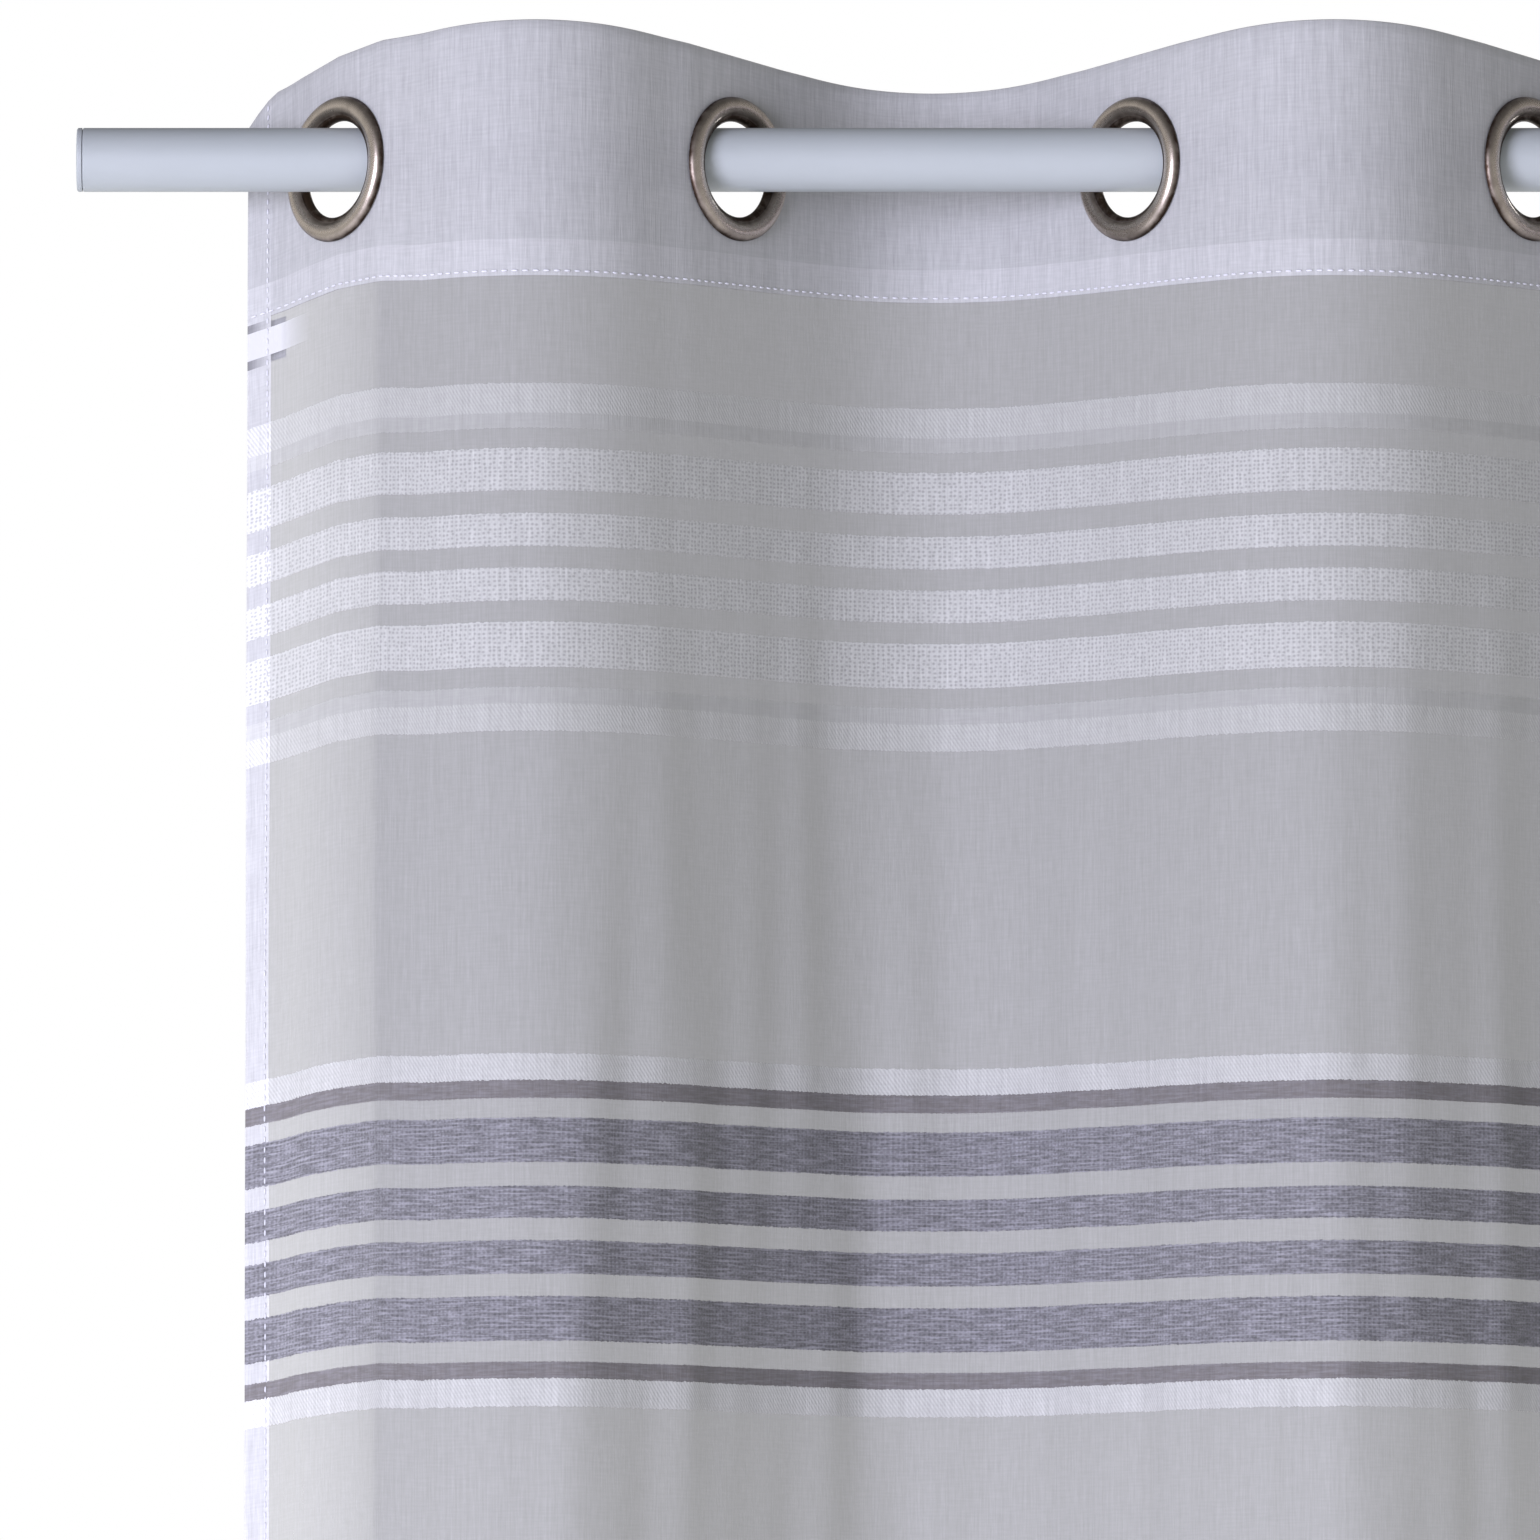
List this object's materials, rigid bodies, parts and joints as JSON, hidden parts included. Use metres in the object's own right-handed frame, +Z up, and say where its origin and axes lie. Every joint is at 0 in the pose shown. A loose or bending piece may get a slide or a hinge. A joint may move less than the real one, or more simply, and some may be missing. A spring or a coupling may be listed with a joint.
{
  "type": "eyelet curtain on a rod",
  "caption": "Sheer horizontally striped curtain panel hanging in even folds from metal eyelets on a round painted rod; the folds close up along the rod.",
  "frame": {"origin": "on the rod's axis, half way along it", "axes": "+X along the rod to the right seen from the room, +Y from the room to the window, +Z up"},
  "size_m": [1.292, 0.125, 2.5052],
  "materials": {
    "rod_paint": "satin",
    "plug_plastic": "matte",
    "eyelet_nickel": "satin",
    "header_cloth": "matte",
    "sheer_cloth": "matte",
    "hem_cloth": "matte",
    "label_cloth": "matte"
  },
  "bodies": {
    "rod": {"rod_tube": "rod_paint", "end_plug_left": "plug_plastic", "end_plug_right": "plug_plastic"},
    "strip_1": {"eyelet_1_front": "eyelet_nickel", "eyelet_1_back": "eyelet_nickel", "header_1": "header_cloth", "skirt_1": "sheer_cloth", "header_fold_1": "header_cloth", "skirt_fold_1": "sheer_cloth", "side_hem_left": "hem_cloth", "care_label": "label_cloth"},
    "strip_2": {"eyelet_2_front": "eyelet_nickel", "eyelet_2_back": "eyelet_nickel", "header_2": "header_cloth", "skirt_2": "sheer_cloth", "header_fold_2": "header_cloth", "skirt_fold_2": "sheer_cloth"},
    "strip_3": {"eyelet_3_front": "eyelet_nickel", "eyelet_3_back": "eyelet_nickel", "header_3": "header_cloth", "skirt_3": "sheer_cloth", "header_fold_3": "header_cloth", "skirt_fold_3": "sheer_cloth"},
    "strip_4": {"eyelet_4_front": "eyelet_nickel", "eyelet_4_back": "eyelet_nickel", "header_4": "header_cloth", "skirt_4": "sheer_cloth", "header_fold_4": "header_cloth", "skirt_fold_4": "sheer_cloth"},
    "strip_5": {"eyelet_5_front": "eyelet_nickel", "eyelet_5_back": "eyelet_nickel", "header_5": "header_cloth", "skirt_5": "sheer_cloth", "header_fold_5": "header_cloth", "skirt_fold_5": "sheer_cloth"},
    "strip_6": {"eyelet_6_front": "eyelet_nickel", "eyelet_6_back": "eyelet_nickel", "header_6": "header_cloth", "skirt_6": "sheer_cloth", "header_fold_6": "header_cloth", "skirt_fold_6": "sheer_cloth"},
    "strip_7": {"eyelet_7_front": "eyelet_nickel", "eyelet_7_back": "eyelet_nickel", "header_7": "header_cloth", "skirt_7": "sheer_cloth", "header_fold_7": "header_cloth", "skirt_fold_7": "sheer_cloth"},
    "strip_8": {"eyelet_8_front": "eyelet_nickel", "eyelet_8_back": "eyelet_nickel", "header_8": "header_cloth", "skirt_8": "sheer_cloth", "side_hem_right": "hem_cloth"}
  },
  "joints": [
    {"name": "draw", "type": "hinge", "parent": "rod", "child": "strip_1", "pos_m": [-0.54274, 0, 0], "axis": [0, 0, -1], "range_deg": [0, 38]},
    {"name": "fold_2", "type": "hinge", "parent": "strip_1", "child": "strip_2", "pos_m": [-0.46521, -0.06063, 0], "axis": [0, 0, 1], "range_deg": [0, 76], "deforming": ["header_fold_1", "skirt_fold_1"]},
    {"name": "fold_3", "type": "hinge", "parent": "strip_2", "child": "strip_3", "pos_m": [-0.31014, 0.06063, 0], "axis": [0, 0, -1], "range_deg": [0, 76], "deforming": ["header_fold_2", "skirt_fold_2"]},
    {"name": "fold_4", "type": "hinge", "parent": "strip_3", "child": "strip_4", "pos_m": [-0.15507, -0.06063, 0], "axis": [0, 0, 1], "range_deg": [0, 76], "deforming": ["header_fold_3", "skirt_fold_3"]},
    {"name": "fold_5", "type": "hinge", "parent": "strip_4", "child": "strip_5", "pos_m": [0, 0.06063, 0], "axis": [0, 0, -1], "range_deg": [0, 76], "deforming": ["header_fold_4", "skirt_fold_4"]},
    {"name": "fold_6", "type": "hinge", "parent": "strip_5", "child": "strip_6", "pos_m": [0.15507, -0.06063, 0], "axis": [0, 0, 1], "range_deg": [0, 76], "deforming": ["header_fold_5", "skirt_fold_5"]},
    {"name": "fold_7", "type": "hinge", "parent": "strip_6", "child": "strip_7", "pos_m": [0.31014, 0.06063, 0], "axis": [0, 0, -1], "range_deg": [0, 76], "deforming": ["header_fold_6", "skirt_fold_6"]},
    {"name": "fold_8", "type": "hinge", "parent": "strip_7", "child": "strip_8", "pos_m": [0.46521, -0.06063, 0], "axis": [0, 0, 1], "range_deg": [0, 76], "deforming": ["header_fold_7", "skirt_fold_7"]}
  ],
  "couplings": [
    {"joint": "fold_2", "follows": "draw", "ratio": 2},
    {"joint": "fold_3", "follows": "draw", "ratio": 2},
    {"joint": "fold_4", "follows": "draw", "ratio": 2},
    {"joint": "fold_5", "follows": "draw", "ratio": 2},
    {"joint": "fold_6", "follows": "draw", "ratio": 2},
    {"joint": "fold_7", "follows": "draw", "ratio": 2},
    {"joint": "fold_8", "follows": "draw", "ratio": 2}
  ]
}
